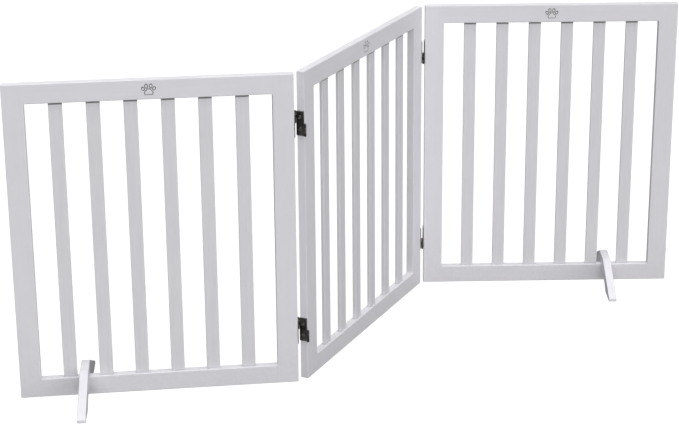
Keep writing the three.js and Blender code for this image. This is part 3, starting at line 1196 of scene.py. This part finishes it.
@dataclass
class Hinge:
    """A double-action hinge between two panels: three leaves, two pins and four screws."""

    name: str
    left_hand: Panel
    right_hand: Panel
    link: str
    maker: Maker
    finishes: Finishes
    screw: Screw = field(default_factory=Screw)
    pin_radius: float = 1.0 * MM
    pin_head_radius: float = 1.8 * MM
    pin_head: float = 0.8 * MM
    pin_crown: float = 0.35 * MM  # the radius of the head's rounded rim
    pin_pole: float = 0.3 * MM  # the radius of the flat on top of it
    pin_sides: int = 24
    highlight_radius: float = 1.5 * MM  # a pin's head has a painted highlight outside this

    def __post_init__(self) -> None:
        """Finds the hinge's frame from its two pins: midway between them, Y towards the back."""
        back, front = (node_centre(f"{self.name}_{pin.name.lower()}_pin") for pin in Pin)
        run, middle = back - front, (back + front) / 2
        self.reach = float(np.hypot(run[0], run[1])) / 2
        height = node_centre(f"{self.name}_middle_leaf")[2]
        low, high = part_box(f"{self.name}_middle_leaf")
        self.sizes = LeafSizes((high[2] - low[2]) / 2)
        self.place = Place((middle[0], middle[1], height), math.atan2(-run[0], run[1]))
        self.axes = {Pin.BACK: back, Pin.FRONT: front}

    def outer(self, pin: Pin) -> None:
        """Makes one panel's leaf, with its two rolled knuckles and its two screws.

        Args:
            pin: the pin that the leaf turns on.
        """
        panel = self.left_hand if pin is Pin.BACK else self.right_hand
        hinge_x = panel.place.local(self.axes[pin])[0]
        place = panel.place.moved(x=hinge_x, z=self.place.origin[2])
        middle_x = -pin.value * self.sizes.outer_middle
        radii = (self.sizes.hole_radius, self.sizes.sink_radius)
        skins = self.sizes.plate(middle_x, radii if pin is Pin.BACK else radii[::-1])
        skins += [self.sizes.knuckle(number, pin, middle_x, self.reach, -pin.value)
                  for number in (0, 2)]
        node = f"{self.name}_{pin.name.lower()}_leaf"
        self.maker.piece(f"{node}_rolled", Skin.joined(skins), place, self.finishes.leaf,
                         panel.body, "dark_steel", node)
        face = middle_x + pin.value * self.sizes.thickness / 2
        for level, sign in (("upper", 1), ("lower", -1)):
            at = place.moved(x=face, z=sign * self.sizes.screw_spacing / 2)
            self.maker.piece(f"{node}_{level}_screw", self.screw.skin(pin.value), at,
                             self.finishes.screw, panel.body, "pin_steel")

    def middle(self) -> None:
        """Makes the leaf between the two pins, with a driver hole over each screw."""
        radii = (self.sizes.access_radius,) * 2
        skins = self.sizes.plate(0.0, radii)
        skins += [self.sizes.knuckle(1, pin, 0.0, self.reach, pin.value) for pin in Pin]
        node = f"{self.name}_middle_leaf"
        self.maker.piece(f"{node}_rolled", Skin.joined(skins), self.place, self.finishes.leaf,
                         self.link, "dark_steel", node)

    def turned_pin(self, pin: Pin) -> None:
        """Makes a pin, turned from a profile: a domed head at each end of a plain shank.

        The rim's radius is R - c (1 - cos t) and its rise c sin t, for a crown c and turn t.

        Args:
            pin: which of the two pins.
        """
        node = f"{self.name}_{pin.name.lower()}_pin"
        low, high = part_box(node)
        half = (high[2] - low[2]) / 2
        t = np.linspace(0.0, math.pi / 2, 5)
        crown = self.pin_head_radius - self.pin_crown * (1 - np.cos(t[::-1]))
        rise = self.pin_crown * np.sin(t[::-1])
        head_r = np.concatenate(((self.pin_pole,), crown, (self.pin_head_radius,)))
        head_z = np.concatenate(((half,), half - self.pin_crown + rise, (half - self.pin_head,)))
        radius = np.concatenate((head_r, (self.pin_radius,)))
        along = np.concatenate((head_z, (half - self.pin_head,)))
        radius = np.concatenate((radius, radius[::-1]))
        along = np.concatenate((along, -along[::-1]))
        points = turned_profile(radius, along, self.pin_sides)
        # painted highlight on the heads' rims, outside that radius
        edge = np.broadcast_to((radius > self.highlight_radius)[:, None], points.shape[:2])
        skin = Skin.of_grid(points, points, edge=edge.astype(float))
        axis = (np.array(low) + np.array(high)) / 2
        self.maker.piece(f"{node}_turned", skin, Place(tuple(axis), self.place.turn),
                         self.finishes.pin, self.link, "pin_steel", node)

    def build(self) -> None:
        """Makes all the hinge's pieces."""
        self.middle()
        for pin in Pin:
            self.outer(pin)
            self.turned_pin(pin)


# --- Studio ---------------------------------------------------------------


@dataclass(frozen=True)
class Lamp:
    """A broad, soft lamp a long way off."""

    name: str
    towards: tuple[float, float, float]  # the direction that its light travels
    strength: float
    spread: float  # in degrees


@dataclass(frozen=True)
class Studio:
    """A pale floor, soft light from all round, and the camera."""

    lamps: tuple[Lamp, ...] = (
        Lamp("front_light", (0.06, 1.0, -0.25), 1.34, 45.0),
        Lamp("side_light", (-0.8, 0.5, -0.3), 1.05, 50.0),
        Lamp("top_light", (0.05, 0.15, -1.0), 1.60, 40.0),
        Lamp("back_light", (0.3, -1.0, -0.15), 1.10, 60.0),
    )
    ambient: float = 0.20
    floor_half: float = 30.0
    floor_albedo: float = 0.17
    floor_glow: float = 0.94
    camera_position: tuple[float, float, float] = (-0.2609, -3.4841, 1.5704)
    camera_heading: float = math.radians(4.52)  # clockwise from straight back
    camera_pitch: float = math.radians(18.82)
    camera_roll: float = math.radians(-0.16)
    lens: float = 99.69
    shift: tuple[float, float] = (-0.0461, -0.0928)

    def light(self) -> None:
        """Sets the surroundings and the lamps."""
        world = bpy.data.worlds.new("studio")
        n = Nodes.of(world)
        seen = n.add("LightPath").outputs["Is Camera Ray"]
        glow = n.maths("MULTIPLY_ADD", seen, 1.0 - self.ambient, self.ambient)
        background = n.add("Background", {"Color": (1.0, 1.0, 1.0, 1.0), "Strength": glow})
        n.add("OutputWorld", {"Surface": background.outputs[0]})
        bpy.context.scene.world = world
        for lamp in self.lamps:
            data = bpy.data.lights.new(lamp.name, "SUN")
            data.energy, data.angle = lamp.strength, math.radians(lamp.spread)
            obj = bpy.data.objects.new(lamp.name, data)
            obj.rotation_euler = Vector(lamp.towards).to_track_quat("-Z", "Y").to_euler()
            bpy.context.scene.collection.objects.link(obj)

    def floor(self) -> None:
        """A level white floor that the camera sees brighter than it lights the gate."""
        half = self.floor_half
        mesh = bpy.data.meshes.new("floor")
        corners = ((-half, -half, 0.0), (half, -half, 0.0), (half, half, 0.0), (-half, half, 0.0))
        mesh.from_pydata(corners, [], [(0, 1, 2, 3)])
        obj = bpy.data.objects.new("floor", mesh)
        bpy.context.scene.collection.objects.link(obj)
        material = bpy.data.materials.new("pale_floor")
        n = Nodes.of(material)
        seen = n.add("LightPath").outputs["Is Camera Ray"]
        plain = n.add("BsdfDiffuse", {"Color": opaque((self.floor_albedo,) * 3)})
        strength = n.maths("MULTIPLY", seen, self.floor_glow)
        glow = n.add("Emission", {"Strength": strength})
        both = n.add("AddShader", {0: plain.outputs[0], 1: glow.outputs[0]})
        n.add("OutputMaterial", {"Surface": both.outputs[0]})
        mesh.materials.append(material)

    def camera(self) -> None:
        """The camera, with its axes worked out from its heading, pitch and roll."""
        data = bpy.data.cameras.new("camera")
        data.lens, (data.shift_x, data.shift_y) = self.lens, self.shift
        level = Vector((math.sin(self.camera_heading), math.cos(self.camera_heading), 0.0))
        right = Vector((level.y, -level.x, 0.0))
        forward = level * math.cos(self.camera_pitch) \
            - Vector((0.0, 0.0, math.sin(self.camera_pitch)))
        up = right.cross(forward)
        c, s = math.cos(self.camera_roll), math.sin(self.camera_roll)
        axes = Matrix((right * c + up * s, up * c - right * s, -forward)).transposed()
        obj = bpy.data.objects.new("camera", data)
        obj.matrix_world = Matrix.Translation(self.camera_position) @ axes.to_4x4()
        bpy.context.scene.collection.objects.link(obj)
        bpy.context.scene.camera = obj

    def build(self) -> None:
        """Builds the whole studio."""
        bpy.context.scene.view_settings.view_transform = "Standard"
        self.light()
        self.floor()
        self.camera()


# --- Gate -----------------------------------------------------------------


def main() -> None:
    """Builds the gate and its studio in order."""
    logging.basicConfig(level=logging.INFO, format="%(name)s %(message)s")
    maker, finishes = Maker(), Finishes()
    panels = {name: Panel(name, maker, finishes) for name in ("left", "middle", "right")}
    for panel in panels.values():
        panel.build()
    for name in ("left", "right"):
        Foot(panels[name]).build()
    pairs = {"left": ("left", "middle"), "right": ("middle", "right")}
    for side, (left_hand, right_hand) in pairs.items():
        for level in ("upper", "lower"):
            Hinge(f"{side}_{level}_hinge", panels[left_hand], panels[right_hand],
                  f"{side}_hinge_link", maker, finishes).build()
    Studio().build()
    log.info("%d pieces made", maker.made)


if __name__ == "__main__":
    main()
